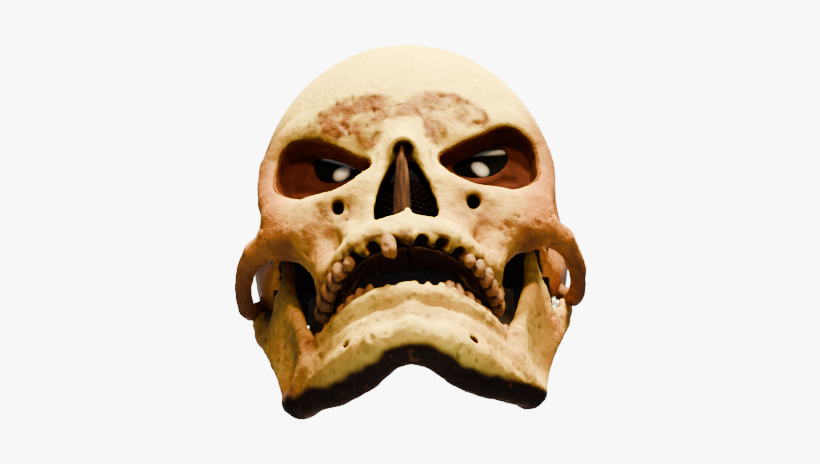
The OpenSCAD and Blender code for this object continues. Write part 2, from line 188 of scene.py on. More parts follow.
class Clay:
    """A block of space that shapes are added to and cut from, and that is then skinned."""

    def __init__(self, low, high, size):
        self.low, self.size = np.array(low, float), size
        count = np.ceil((np.array(high, float) - self.low) / size).astype(int) + 1
        self.axes = [self.low[i] + size * np.arange(count[i]) for i in range(3)]
        self.field = np.full(count, FAR, np.float32)

    def empty(self):
        """Another block of the same size, with nothing in it."""
        twin = copy.copy(self)
        twin.field = np.full(self.field.shape, FAR, np.float32)
        return twin

    def near(self, low, high, margin):
        """The part of the block round a box, and its coordinates."""
        part = []
        for axis, a, b in zip(self.axes, low, high):
            first = np.searchsorted(axis, a - margin)
            last = np.searchsorted(axis, b + margin)
            part.append(slice(max(first - 1, 0), max(last + 1, 1)))
        x, y, z = (axis[s] for axis, s in zip(self.axes, part))
        return tuple(part), x[:, None, None], y[None, :, None], z[None, None, :]

    def add(self, shape, k=0.0):
        """Adds a shape, with the join filled over k."""
        low, high, distance = shape
        part, x, y, z = self.near(low, high, k + 9)
        self.field[part] = smooth_min(self.field[part], distance(x, y, z), k)

    def cut(self, shape, k=0.0):
        """Cuts a shape away, with the edge rounded over k."""
        low, high, distance = shape
        part, x, y, z = self.near(low, high, k + 9)
        self.field[part] = -smooth_min(-self.field[part], distance(x, y, z), k)

    def tubes(self, points, k=0.0, squash=(1, 1, 1), cut=False):
        """Adds or cuts a chain on each side. Its points are given for the right side."""
        method = self.cut if cut else self.add
        for side in (LEFT, RIGHT):
            method(chain([(side * x, *rest) for x, *rest in points], squash), k)

    def lumps(self, centre, radii, k=0.0):
        """Adds an ellipsoid on each side."""
        for side in (LEFT, RIGHT):
            self.add(ellipsoid((side * centre[0], *centre[1:]), radii), k)

    def dents(self, centre, radii, k=0.0):
        """Cuts an ellipsoid on each side."""
        for side in (LEFT, RIGHT):
            self.cut(ellipsoid((side * centre[0], *centre[1:]), radii), k)

    def coordinates(self):
        """The block's x, y and z, each laid along its own axis."""
        x, y, z = self.axes
        return x[:, None, None], y[None, :, None], z[None, None, :]

    def trim(self, distances):
        """Keeps only what also lies inside another shape."""
        self.field = np.maximum(self.field, distances).astype(np.float32)

    def sampled(self, other):
        """Another block's distances at this block's points."""
        grid = np.stack(np.meshgrid(*self.axes, indexing="ij"), -1).reshape(-1, 3)
        return other.at(grid).reshape(self.field.shape)

    def at(self, points):
        """The distance at any points."""
        g = (points - self.low) / self.size
        top = np.array(self.field.shape) - 1.001
        g = np.clip(g, 0, top)
        first = g.astype(int)
        return mix_corners(first, g - first, lambda i, j, k: self.field[i, j, k])

    def slope(self, points, step=1.5):
        """The outward direction at any points."""
        n = np.stack([self.at(points + step * e) - self.at(points - step * e) for e in np.eye(3)], 1)
        return n / np.maximum(np.linalg.norm(n, axis=1, keepdims=True), 1e-6)

    def skin(self):
        """The surface's points, faces (of four corners) and outward directions."""
        grid = vdb.FloatGrid(background=FAR)
        grid.copyFromArray(np.ascontiguousarray(self.field), tolerance=0.0)
        points, _, quads = grid.convertToPolygons(isovalue=0.0, adaptivity=0.0)
        points = self.low + points.astype(float) * self.size
        return points, quads, self.slope(points)

    def shade(self, points, normals, reach):
        """How enclosed each point is, from 0, open, to 1, at the distance reach."""
        ahead = self.at(points + normals * reach)
        return unit(1.0 - ahead / reach)


def side_clay(side, near, far, size):
    """A block of clay on one side. Its corners are given for the right side."""
    low, high = sorted((side * near[0], side * far[0]))
    return Clay((low, *near[1:]), (high, *far[1:]), size)


def noise(points, wavelength, seed):
    """Smooth random values from -1 to 1 over space."""
    table = np.random.default_rng(seed).random((32, 32, 32)) * 2 - 1
    p = points / wavelength
    first = np.floor(p).astype(int)
    share = p - first
    share = share * share * (3 - 2 * share)
    return mix_corners(first, share, lambda i, j, k: table[i % 32, j % 32, k % 32])


def spot(points, centre, radii, edge=0.35):
    """1 inside an ellipsoid, falling to 0 across its edge."""
    d = np.sqrt((((points - np.array(centre, float)) / np.array(radii, float)) ** 2).sum(1))
    return unit((1.0 + edge - d) / (2 * edge))


def make_mesh(name, points, faces, colours=None, smooth=True):
    """An object from points in millimetres, with a colour for each point."""
    mesh = bpy.data.meshes.new(name)
    mesh.from_pydata((points * MM).tolist(), [], [list(f) for f in faces])
    if colours is not None:
        layer = mesh.color_attributes.new("paint", "FLOAT_COLOR", "POINT")
        rgba = np.ones((len(points), 4), np.float32)
        rgba[:, :3] = colours
        layer.data.foreach_set("color", rgba.ravel())
    mesh.polygons.foreach_set("use_smooth", [smooth] * len(mesh.polygons))
    mesh.update()
    piece = bpy.data.objects.new(name, mesh)
    bpy.context.collection.objects.link(piece)
    return piece


def declare(piece, node, body=None):
    """Says which CAD node a piece stands for, and the body that it rides unless it is blended."""
    if body:
        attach(piece, body)
    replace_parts(piece, node)


def orient(piece):
    """Turns all the faces of a closed piece outwards."""
    mesh = bmesh.new()
    mesh.from_mesh(piece.data)
    bmesh.ops.recalc_face_normals(mesh, faces=mesh.faces)
    mesh.to_mesh(piece.data)
    mesh.free()


# ---------------------------------------------------------------- camera

CAMERA_DEGREES = (1.0, -46.5, -2.0)
CAMERA_TARGET = Vector((0.0012, -0.070, 0.0101))
CAMERA_DISTANCE = 1.12
CAMERA_LENS_MM, SENSOR_MM = 85.6, 36.0


def place_camera():
    """Looks up at the face from below, turned by CAMERA_DEGREES: azimuth, elevation and roll."""
    azimuth, elevation, roll = (math.radians(v) for v in CAMERA_DEGREES)
    back = Vector((math.sin(azimuth) * math.cos(elevation), -math.cos(azimuth) * math.cos(elevation),
                   math.sin(elevation)))
    level = Vector((math.cos(azimuth), math.sin(azimuth), 0))
    rise = back.cross(level)
    right = level * math.cos(roll) + rise * math.sin(roll)
    up = rise * math.cos(roll) - level * math.sin(roll)
    data = bpy.data.cameras.new("camera")
    data.lens, data.sensor_width = CAMERA_LENS_MM, SENSOR_MM
    data.clip_start, data.clip_end = 0.01, 50.0
    camera = bpy.data.objects.new("camera", data)
    bpy.context.collection.objects.link(camera)
    turn = Matrix((right, up, back)).transposed().to_4x4()
    camera.matrix_world = Matrix.Translation(CAMERA_TARGET + back * CAMERA_DISTANCE) @ turn
    bpy.context.scene.camera = camera


place_camera()


# ---------------------------------------------------------------- colours

CREAM = np.array((0.88, 0.64, 0.075))
TAN = np.array((0.40, 0.145, 0.026))
BROWN = np.array((0.11, 0.035, 0.013))
DARK = np.array((0.007, 0.003, 0.002))
PATCH = np.array((0.20, 0.075, 0.018))
SOCKET = np.array((0.042, 0.010, 0.0065))


def tint(colours, amount, towards):
    """Moves colours towards another, by an amount for each point."""
    a = unit(amount)[:, None]
    return colours * (1 - a) + np.asarray(towards) * a


def layered(colours, layers):
    """Tints colours with each (amount, colour) in turn."""
    for amount, towards in layers:
        colours = tint(colours, amount, towards)
    return colours


def worn(points, seed):
    """Layered noise from about -1 to 1, coarse to fine."""
    total = noise(points, 31, seed) + 0.6 * noise(points, 13, seed + 1)
    return (total + 0.4 * noise(points, 5.5, seed + 2)) / 1.5


def mottled(points, colour, amount, seed):
    """One colour with layered noise in its brightness."""
    return np.tile(colour, (len(points), 1)) * (1 + amount * worn(points, seed))[:, None]


def pits(points, wavelength, seed, share=0.5):
    """0 almost everywhere, rising to 1 in scattered small pits."""
    return unit((noise(points, wavelength, seed) - share) / (1 - share) * 1.6)


# ---------------------------------------------------------------- skull

VOXEL = 1.2
EYE_X, EYE_Y, EYE_Z, EYE_TURN = 46, -92, 30, 20
GUM_Z = -60
EDGE_Z = 5
CHEEK_Y = -66
LEFT_RIM = [(-73.5, -92, 20.5), (-77.5, -91, 40), (-74, -94, 56), (-66, -99, 60), (-57, -106, 54.5),
            (-42, -113, 41.5), (-30, -117, 30), (-19, -120, 21), (-17, -120, 11), (-24, -117, 7.5),
            (-36, -112, 6), (-50.5, -105, 8), (-63, -98, 12)]
RIGHT_RIM = [(21, -117, 8), (18, -119, 17), (21, -118, 25), (32, -116, 33.5), (45, -112, 44),
             (54, -108, 54), (61, -103, 60), (71, -97, 60.5), (77, -91, 52), (77, -90, 38),
             (74.5, -90, 23), (66, -94, 13), (53.6, -101, 8.5), (36.4, -109, 2.5)]
RIM_DEPTH = 15
SOCKET_TAPER = 0.006
LENS_W = -4
NOSE = [(0, 18), (6, 16.5), (9, 10), (13, 0), (17, -14), (18.5, -25), (15, -35), (7, -36), (1.5, -31),
        (-5, -36), (-14, -36), (-18.5, -26), (-17, -14), (-13, 0), (-9, 10), (-6, 16.5)]
NOSE_SPACE = ((0, -98, -14), (18, 22, 26))
VAULT = ((0, -88, -62), (38, 38, 16))
# Where the gums have empty tooth sockets
UPPER_GAPS = [(-7, -127), (8, -127), (-18, -124), (19, -124), (-28, -117), (28, -117), (35, -108),
              (-33, -111)]
LOWER_GAPS = [(-7, -115), (0, -115.5), (7, -115), (-14, -113.5), (14, -113.5), (-20.5, -109.5),
              (20.5, -109.5)]
# Height, half width, half depth and front of the room behind the face
FACE_ROOM = [(25, 72, 55, -101), (0, 66, 54, -101), (-25, 58, 52, -102), (-55, 50, 50, -102)]
CRANIUM_ROOM = ((0, 0, 63), (93, 125, 98))
FOREHEAD_ROOM = ((0, -30, 80), (86, 96, 84))
CHIN_CUP = ((0, -86, -82), (34, 21, 14))
HINGE_Y, HINGE_Z = -17, -6
# The anchor studs of the right elastic, in the skull and in the jaw, and the cord's radius
STUD_HIGH, STUD_LOW, CORD_R = (74, -50, 12), (62, -45, -52), 1.5
STUD_ROOM = (2.6, 8, 8)
WEBBING_WIDE = 25


def eye_frame(side):
    """x, y, z into across, up and depth behind the rim of the eye socket."""
    to_frame = turned((EYE_X, EYE_Y, EYE_Z), EYE_TURN, side)

    def rim_frame(x, y, z):
        u, v, w = to_frame(x, y, z)
        return u, v, w + RIM_DEPTH
    return rim_frame


def eye_hole(side, inset=0.0, depth=(-60, 31)):
    """The socket's outline on one side, pushed into the face and narrowing as it goes."""
    rim = LEFT_RIM if side == LEFT else RIGHT_RIM
    rim_frame = eye_frame(side)
    outline = []
    for u, v, w in (rim_frame(*point) for point in rim):
        shrink = 1.0 - SOCKET_TAPER * max(w, 0.0)
        outline.append((u / shrink, v / shrink))
    return prism(outline, rim_frame, ((side * 49, -95, 30), 62), depth, taper=SOCKET_TAPER, inset=inset)


def nose_hole(depth, inset=0.0):
    """The outline of the nose opening, pushed straight back."""
    return prism(NOSE, lambda x, y, z: (x, z, y), ((0, -120, -10), 40), depth, inset=inset)


def skull_form():
    """The outside of the skull, with nothing cut from it yet."""
    clay = Clay((-108, -148, -72), (108, 116, 182), VOXEL)
    clay.add(ellipsoid((0, 0, 63), (97, 129, 102)))
    clay.add(ellipsoid((0, -30, 80), (90, 100, 88)), 12)
    clay.add(ellipsoid((0, -28, 22), (87, 72, 50)), 14)
    clay.dents((105, -62, 40), (26, 34, 42), 16)
    clay.dents((148, -22, 80), (56, 46, 46), 12)
    # brow ridges, from the middle round the outer side of each eye
    clay.tubes([
        (0, -117, 46, 11), (14, -114, 42, 10), (27, -111, 43, 9.5), (42, -106, 55, 9.5),
        (55, -99, 66, 9), (68, -91, 66, 8.5), (78, -85, 54, 7.5), (78.5, -84, 38, 8),
        (75.5, -86, 22, 9.8), (71, -87, 8, 11.5)], 8)
    clay.add(ellipsoid((0, -104, 34), (24, 20, 22)), 8)
    # nose bridge and the sides of the nose opening
    clay.add(chain([(0, -114, 40, 9.5), (0, -121, 28, 8.5), (0, -128, 17, 8)]), 7)
    clay.tubes([
        (7, -114, 34, 9), (13, -112, 12, 10), (20, -108, -8, 11), (24, -106, -26, 13),
        (20, -109, -42, 14)], 8)
    # lower rims of the eyes
    clay.tubes([
        (22, -109, 3, 9), (38, -104, -3, 9.5), (54, -96, 1, 9.5), (68, -87, 4, 10)], 8)
    clay.lumps((40, -92, -12), (30, 16, 20), 8)
    clay.lumps((57, -84, 12), (19, 12, 13), 4)
    # cheekbones and the buttresses under them
    clay.lumps((67, -84, -3), (15, 12, 15), 8)
    clay.tubes([
        (66, -84, -8, 9), (54, -88, -18, 9), (45, -91, -32, 11), (41, -92, -44, 11)], 7)
    # gum
    clay.add(ellipsoid((0, -110, -46), (27, 21, 16)), 6)
    clay.tubes([
        (0, -121, -50, 11.5), (13, -120, -50, 11), (23, -115, -50, 10.5), (32, -105, -50, 10),
        (39, -92, -50, 9.5), (43, -76, -49, 9)], 6)
    clay.dents((32, -127, -22), (11, 13, 14), 8)
    clay.cut(ellipsoid((0, -139, -46), (12, 6, 9)), 8)
    clay.add(chain([(0, -122, -40, 5), (1, -127, -34, 2.5)]), 4)
    return clay


def hollow_skull(clay, outside):
    """Cuts the openings of the face, the room for the head, the edges and the small holes."""
    for side in (LEFT, RIGHT):
        clay.cut(eye_hole(side))
    clay.cut(nose_hole((-160, -96)), 1.5)
    room = clay.empty()
    room.add(ellipsoid(*CRANIUM_ROOM))
    room.add(ellipsoid(*FOREHEAD_ROOM), 12)
    room.add(ellipsoid((0, -28, 22), (83, 68, 46)), 6)
    for z, wide, deep, front in FACE_ROOM:
        room.add(ellipsoid((0, front + deep, z), (wide, deep, 42)), 4)
    room.add(ellipsoid(*NOSE_SPACE), 3)
    x, y, z = clay.coordinates()
    across, from_hinge = np.abs(x), np.abs(y - HINGE_Y)
    seat = np.maximum(np.maximum(81 - across, from_hinge - 15), np.abs(z - 22) - 17)
    room.field = np.maximum(np.maximum(room.field, -seat), outside + 3)
    clay.field = np.maximum(clay.field, -room.field)
    ragged = 1.2 * np.sin(0.9 * x + 0.3 * y) + 0.9 * np.sin(0.41 * y - 0.55 * x)
    back_edge = (z - 7 - 1.03 * y) / 1.4356
    lower_edge = z - GUM_Z + ragged
    cheek_edge = np.maximum(z - EDGE_Z + 0.5 * ragged, CHEEK_Y - y + ragged)
    pocket = np.maximum(np.maximum(across - 81.05, 60 - across),
                        np.maximum(from_hinge - 15.2, np.abs(z) - 39))
    for edge in (back_edge, lower_edge, cheek_edge, pocket):
        clay.field = np.maximum(clay.field, -edge)
    clay.cut(ellipsoid(*VAULT), 2)
    # room for the loops of the elastics
    clay.dents(STUD_HIGH, STUD_ROOM, 0.5)
    # tooth sockets along the gum, and small holes for nerves
    for tx, ty in UPPER_GAPS:
        clay.cut(ellipsoid((tx, ty, GUM_Z), (4.2, 3.6, 7)), 2)
    clay.tubes([(39.5, -124, -13.5, 4.2), (37, -104, -8, 3)], 3, (1, 1, 1.35), cut=True)
    clay.cut(chain([(13, -136, -2, 1.4), (13, -118, -2, 1.2)]), 1)


def bone_with_painted_shade(points):
    """Cream bone, with painted shade: browner low down, on the sides and on the left, as the light falls.
    """
    x, y, z = points.T
    wide = np.abs(x)
    # painted shade: browner low down, on the sides and on the left, as the light falls; worn adds random
    # tone
    low = unit((34 - z) / 70) * 0.60 * (1 - 0.75 * unit((-y - 108) / 20))
    side = unit((wide - 56) / 24) * unit((112 - z) / 44) * 1.05
    left = unit((-x - 30) / 60) * 0.12
    middle = unit((70 - z) / 40) * 0.14
    amount = low + side + left + middle + 0.38 * worn(points, 11) - 0.10
    # painted shade: brown on the flanks
    flank_shade = unit((wide - 66) / 14) * unit((112 - z) / 30) * unit((z - 10) / 30)
    return layered(np.tile(CREAM, (len(points), 1)), [(amount, TAN), (0.62 * flank_shade, BROWN)])


def cheek_layers(points, normals, s):
    """The brown stains on the cheek and on the eye's outer rim, and painted shade under the cheekbone and
    round the nerve hole.
    """
    cheek = spot(points, (s * 42, -106, -20), (28, 20, 20), 0.5)
    # painted shade on the faces turned down under the cheekbone
    shade_below = spot(points, (s * 60, -84, -20), (20, 16, 9), 0.5) * unit(0.5 - 1.2 * normals[:, 2])
    # painted shade round the nerve hole
    nerve_hole_shade = spot(points, (s * 40, -112, -15), (9, 16, 9), 0.8)
    rim = spot(points, (s * 76, -88, 24), (7, 9, 10), 0.5)
    return [(0.85 * cheek * unit(0.6 + 0.8 * noise(points, 6, 31)), PATCH),
            (0.7 * shade_below, BROWN),
            (1.1 * nerve_hole_shade * unit(0.7 + 0.6 * noise(points, 4, 35)), BROWN),
            (0.5 * rim * unit(0.5 + noise(points, 2.5, 33)), BROWN)]


def skull_paint(clay, points, normals, depth):
    """Bone with painted shade, brown and dark in the hollows, on the undersides below the gum and over the
    inside, painted light on the walls beside the hinges, and brown on the rough patches.
    """
    x, y, z = points.T
    low = unit((30 - z) / 80) * 0.5
    # painted shade in the hollows
    recess_shade = clay.shade(points, normals, 9)
    frown = frown_area(points)
    gum = unit((GUM_Z + 12 - z) / 7) * unit((CHEEK_Y - y) / 10)
    comb = noise(points * np.array((1, 1, 0.35)), 2.6, 41)
    buttress = sum(spot(points, (s * 48, -92, -34), (16, 16, 18), 0.6) for s in (LEFT, RIGHT))
    # painted shade on the faces turned down below the gum
    underside_shade = unit(-normals[:, 2] * 2.5 - 1.3) * unit((GUM_Z + 5 - z) / 4)
    # painted shade makes the inside dark, but the walls beside the hinges are painted light
    wall = unit((np.abs(x) - 74) / 4) * unit((40 - z) / 8) * (depth > 1)
    return layered(bone_with_painted_shade(points), [
        (frown * unit(0.92 + 0.45 * noise(points, 7, 21)), PATCH),
        (0.9 * frown * pits(points, 3.4, 23, 0.2), BROWN),
        *cheek_layers(points, normals, LEFT),
        *cheek_layers(points, normals, RIGHT),
        ((recess_shade - 0.30) * 1.3, BROWN),
        ((recess_shade - 0.66) * 2.4, DARK),
        (gum * unit(0.65 + 0.9 * comb), BROWN),
        (0.55 * buttress * unit(0.7 + 0.6 * noise(points, 7, 43)), TAN),
        (0.95 * underside_shade, DARK),
        (0.8 * pits(points, 3.4, 51, 0.55) * (0.25 + low), BROWN),
        (cracks(points) * 0.85, BROWN),
        # painted shade: the inside of the shell brown, then dark
        (depth - 1.2, BROWN),
        (depth - 2.4, DARK),
        (wall, TAN * 1.2)])


def frown_area(points):
    """1 on the two rough patches over the eyes, and on the bridge between them."""
    left = spot(points, (-33, -121, 52), (32, 26, 15), 0.2)
    right = spot(points, (26, -122, 53), (26, 26, 12), 0.2)
    middle = spot(points, (-1, -128, 47), (24, 16, 6), 0.3)
    inner_left = spot(points, (-19, -122, 38), (9, 14, 14), 0.3)
    inner_right = spot(points, (18, -122, 38), (7, 14, 12), 0.3)
    patch = np.maximum.reduce([left, right, middle, inner_left, inner_right])
    return unit(patch * (1.35 + 0.6 * noise(points, 6, 25)) - 0.2)


def cracks(points):
    """Fine dark lines: the seams round the nose bones and a few cracks."""
    wander = np.stack([noise(points, 5, seed) for seed in (27, 28, 29)], 1) * 1.1
    amount = np.zeros(len(points))
    for line in CRACKS:
        shape = chain([(*point, 0.0) for point in line])[2]
        p = points + wander
        d = shape(p[:, 0], p[:, 1], p[:, 2])
        amount = np.maximum(amount, unit(1.5 - d))
    return amount


CRACKS = [[(-22, -121, 24), (-14, -126, 38), (-6, -130, 50), (0, -131, 53), (7, -130, 50), (14, -126, 38),
           (19, -122, 26)],
          [(-10, -127, 41), (0, -129, 44), (9, -127, 41)],
          [(-14, -122, 20), (-16, -120, 6), (-20, -118, -2)],
          [(14, -122, 20), (17, -120, 6), (22, -118, -1)],
          [(-36, -112, 1), (-46, -108, -4), (-58, -101, -6)],
          [(24, -114, 0), (40, -109, -2), (54, -103, -7)],
          [(-26, -122, 62), (-30, -118, 50), (-27, -118, 40)], [(60, -96, -8), (66, -93, -2), (72, -89, 0)]]


def roughen(points, normals, amount, seed):
    """Moves points along their normals by small noise, so that the surface looks like old bone."""
    bump = 0.35 * noise(points, 11, seed) + 0.22 * noise(points, 4.5, seed + 1)
    bump = bump - 0.5 * pits(points, 3.2, seed + 2, 0.5)
    return points + normals * (amount * bump)[:, None]


def build_skull():
    """Makes the skull shell, and returns the clay of its uncut outside."""
    form = skull_form()
    outside = form.field.copy()
    hollow_skull(form, outside)
    points, faces, normals = form.skin()
    hollowed, form.field = form.field, outside
    depth = -form.at(points)
    form.field = hollowed
    colours = skull_paint(form, points, normals, depth)
    rough = 0.4 + 2.0 * frown_area(points)
    rough = rough + 1.2 * unit((14 - points[:, 2]) / 30)
    skull = make_mesh("skull_shell", roughen(points, normals, rough, 61), faces, colours)
    declare(skull, "skull_shell", "root")
    form.field = outside
    return form


# The outlines of the openings for the lenses, across and up from the middle of each eye
LENS = {LEFT: [(5.3, 15.2), (3, 20.5), (-3.5, 18.8), (-15, 9.3), (-24.2, -1), (-25.4, -5.9),
               (-23.6, -10), (-13, -10.4), (-0.6, -5), (4, 4)],
        RIGHT: [(-23, -4.5), (-13, 6.8), (-1.3, 18.6), (8.2, 21.5), (13, 19.5), (12.2, 9.6), (6.7, 0),
                (-1.6, -7.7), (-15, -12), (-21.5, -9)]}


def build_sockets(form):
    """A dark lining for each eye, from the rim to a floor with a hole for the lens."""
    for side, name in SIDES:
        clay = side_clay(side, (10, -128, -12), (92, -72, 74), 0.8)
        body = clay.sampled(form)
        x, y, z = clay.coordinates()
        outer = eye_hole(side, 0.25)[2](x, y, z)
        inner = eye_hole(side, 1.3)[2](x, y, z)
        u, v, w = eye_frame(side)(x, y, z)
        depth = w - RIM_DEPTH - 0.28 * np.maximum(u - 9, 0)
        opening = np.maximum(outline_distance(u, v, rounded(LENS[side])), inner + 1.5)
        cup = np.maximum(inner, depth - (LENS_W - 2.5))
        cup = smooth_min(cup, np.maximum(opening, depth - 9), 1.5)
        walls = (body + 0.3, outer, -cup, depth - LENS_W)
        clay.field = np.maximum.reduce(np.broadcast_arrays(*walls)).astype(np.float32)
        points, faces, _ = clay.skin()
        colours = mottled(points, SOCKET, 0.45, 71)
        along = eye_frame(side)(*points.T)[2] - RIM_DEPTH
        # tan near the rim, where the lining meets the bone, and more on the outer wall as painted light
        rim = unit(1 + form.at(points) / 2.2) * unit((-7.5 - along) / 2)
        lit_outer_wall = unit((np.abs(points[:, 0]) - 64) / 10) * unit((44 - points[:, 2]) / 20)
        colours = tint(colours, rim * (0.15 + 0.35 * lit_outer_wall), TAN)
        piece = make_mesh("eye_socket_" + name, points, faces, colours)
        declare(piece, "eye_socket_" + name, "root")


# ---------------------------------------------------------------- face pieces

def finish_clay(name, clay, body, paint, rough=0.0, seed=0):
    """Skins a block of clay as one piece that rides a body and stands for a CAD node."""
    points, faces, normals = clay.skin()
    colours = paint(clay, points, normals)
    if rough:
        points = roughen(points, normals, rough, seed)
    piece = make_mesh(name, points, faces, colours)
    declare(piece, name, body)
    return piece


def arch_paint(clay, points, normals):
    """Bone that turns brown towards the ear, with painted shade underneath and at the back."""
    x, y, z = points.T
    # painted shade on the faces turned down
    shade_below = unit(-normals[:, 2] * 1.6 - 0.4) * np.clip((y + 84) / 20, 0.3, 1)
    return layered(bone_with_painted_shade(points), [
        (unit((y + 80) / 34) * (0.5 + 0.5 * worn(points, 101)), TAN),
        (0.85 * shade_below, BROWN),
        # painted shade at the back of the arch
        (unit((y + 62) / 16) * 0.85, BROWN),
        (0.8 * pits(points, 3.2, 103, 0.5), BROWN)])


ARCH = [(66, -83, -4, 7), (77, -81, -5, 8.6), (87, -73.5, -5.5, 7.6), (93, -63, -7, 5.6),
        (96, -52, -9, 5.2), (96.5, -43, -10, 5.0), (96, -33, -9, 4.8), (94.5, -24, -4, 4.8),
        (92, -15, 7, 5.0), (86, -6, 15, 6.5)]


def build_arch(side, name, form):
    """The thin bar of bone from the cheekbone back to the ear, clear of the skull's side."""
    clay = side_clay(side, (58, -98, -32), (106, 6, 30), 0.9)
    clay.add(chain([(side * x, *rest) for x, *rest in ARCH]), 3)
    body = clay.sampled(form)
    clay.field = smooth_min(clay.field, body, 5)
    clay.trim(0.05 - body)
    finish_clay("zygomatic_arch_" + name, clay, "root", arch_paint, 1.3, 105)


def tooth(clay, x, y, z, half, tall, point):
    """A worn nub with a slightly pointed end. point is -1 for an upper tooth and 1 for a lower one."""
    lean = 0.9 * math.sin(1.7 * x + 0.6 * y)
    swell = 1 + 0.10 * math.sin(2.3 * x - y)
    clay.add(ellipsoid((x, y, z), (half * swell, half * 0.95, tall)), 0)
    for turn in (0.4, 2.3, 4.1):
        out = half * 0.42
        cusp = (x + lean + out * math.cos(turn + x), y + out * math.sin(turn + x), z + point * tall * 0.52)
        clay.add(ellipsoid(cusp, (half * 0.5, half * 0.5, tall * 0.5)), 1.0)


def tooth_paint(clay, points, normals):
    """Brown teeth, with painted shade between them."""
    colours = np.tile(np.array((0.25, 0.11, 0.030)), (len(points), 1))
    # painted shade between the teeth
    recess_shade = clay.shade(points, normals, 3.5)
    colours = tint(colours, np.clip(0.35 + 0.6 * worn(points, 111), 0, 0.8), (0.12, 0.045, 0.016))
    return tint(colours, unit(recess_shade - 0.12) * 2.4, BROWN * 0.6)


UPPER_TEETH = [(-9.5, -127.5, 4.8, 9), (-31, -114.5, 3.6, 4.5), (-36, -109.5, 4.2, 6),
               (-40, -102.5, 4.3, 6.5), (-43, -95, 4.5, 6.5), (-45.5, -87, 4.6, 6.5),
               (-47, -78.5, 4.8, 6), (33, -112.5, 3.6, 4.5), (38, -107, 4.2, 6), (41.5, -100, 4.3, 6.5),
               (44, -92.5, 4.5, 6.5), (46, -85, 4.6, 6.5), (47.5, -77, 4.8, 6)]
LOWER_TEETH = [(-20.5, -109.5, 3.0, 5.5), (-25.5, -105.5, 3.4, 7), (-30.5, -100.5, 3.8, 6.5),
               (-35, -94, 4.0, 6.5), (-39.5, -87, 4.2, 6.5), (-44, -80, 4.3, 6.5), (-48.5, -73, 4.4, 6),
               (21, -109, 3.0, 5.5), (26, -105, 3.4, 7), (31, -100, 3.8, 6.5), (35.5, -93.5, 4.0, 6.5),
               (40, -86.5, 4.2, 6.5), (44.5, -79.5, 4.3, 6.5), (49, -72.5, 4.4, 6)]


def build_teeth():
    """The upper and the lower row, each tooth given by x, y, half width and height."""
    upper = Clay((-60, -140, -78), (60, -66, -50), 0.7)
    for x, y, half, tall in UPPER_TEETH:
        tooth(upper, x, y, GUM_Z + 1, half, tall, -1)
    finish_clay("upper_teeth", upper, "root", tooth_paint, 0.9, 121)
    lower = Clay((-62, -120, -92), (62, -58, -62), 0.7)
    for x, y, half, tall in LOWER_TEETH:
        tooth(lower, x, y, -77, half, tall, 1)
    finish_clay("lower_teeth", lower, "jaw", tooth_paint, 0.9, 123)


def build_palate():
    """The dark vault behind the upper gum, with a seam along its middle."""
    clay = Clay((-42, -130, -66), (42, -94, -42), 0.8)
    clay.add(grown(VAULT, -0.3))
    clay.cut(grown(VAULT, -2.2))
    x, y, z = clay.coordinates()
    clay.trim(np.maximum(y + 97, GUM_Z - z + 0.5 * np.sin(x)))

    def paint(clay, points, normals):
        colours = np.tile(np.array((0.030, 0.0135, 0.010)), (len(points), 1))
        seam = unit(1.2 - np.abs(points[:, 0] - 1 - 0.8 * noise(points, 7, 133)))
        colours = tint(colours, 0.5 + 0.5 * worn(points, 131), (0.06, 0.024, 0.016))
        return tint(colours, seam, (0.004, 0.002, 0.002))
    finish_clay("palate_liner", clay, "root", paint, 0.8, 135)


def build_nasal_mesh():
    """A dark curved sheet with rows of small holes, behind the nose opening."""
    mesh = Clay((-24, -128, -46), (24, -100, 20), 0.7)
    mesh.add(grown(NOSE_SPACE, 2.0))
    mesh.cut(grown(NOSE_SPACE, 0.2))
    x, y, z = mesh.coordinates()
    opening = nose_hole((-160, -60), 0.3)[2](x, y, z)
    holes = np.full(mesh.field.shape, FAR)
    for row in range(-7, 8):
        for column in range(-5, 6):
            cx, cz = column * 3.4 + (row % 2) * 1.7, -12 + row * 3.0
            holes = np.minimum(holes, np.sqrt((x - cx) ** 2 + (z - cz) ** 2) - 0.95)
    mesh.trim(np.maximum(opening, np.maximum(-holes, y + 104)))

    def paint(clay, points, normals):
        return mottled(points, (0.0014, 0.0007, 0.0006), 0.3, 141)
    finish_clay("nasal_mesh", mesh, "root", paint)


def build_septum():
    """The upright plate in the nose opening, as three streaked ridges side by side."""
    septum = Clay((-10, -138, -40), (8, -112, 22), 0.6)
    for sx, top, wide in ((-4.0, 12, 1.5), (-1.2, 17, 2.0), (1.4, 10, 1.3)):
        ridge = [(sx * 0.6, -124, top, wide * 0.8), (sx, -124, -6, wide), (sx * 1.2, -124, -34, wide * 1.2)]
        septum.add(chain(ridge, (1, 4, 1)), 1.2)
    x, y, z = septum.coordinates()
    front = -131.5 - 0.06 * (z + 10) + 0.6 * np.abs(x + 1)
    septum.trim(np.maximum(front - y, -grown(NOSE_SPACE, 1.0)[2](x, y, z)))

    def paint(clay, points, normals):
        colours = np.tile(np.array((0.095, 0.036, 0.020)), (len(points), 1))
        streak = noise(points * np.array((1, 1, 0.12)), 1.6, 145)
        colours = tint(colours, 0.40 + 0.9 * streak, (0.012, 0.005, 0.004))
        return tint(colours, np.clip((-8 - points[:, 2]) / 14, 0, 0.7), (0.012, 0.005, 0.004))
    finish_clay("nasal_septum", septum, "root", paint, 0.3, 147)


def dome_points(side, outline, middle, shares):
    """Rings of points over a lens, from its flat back edge to near the middle of its dome."""
    cs, sn = math.cos(math.radians(EYE_TURN)), math.sin(math.radians(EYE_TURN))
    points = []
    for k, share in enumerate(shares):
        w = LENS_W + (2.0 if k == 0 else 0.2 - 3.0 * math.sqrt(max(1 - share ** 2, 0)))
        for u, v in middle + (outline - middle) * share:
            points.append((side * (EYE_X + u * cs - w * sn), EYE_Y + u * sn + w * cs, EYE_Z + v))
    return points


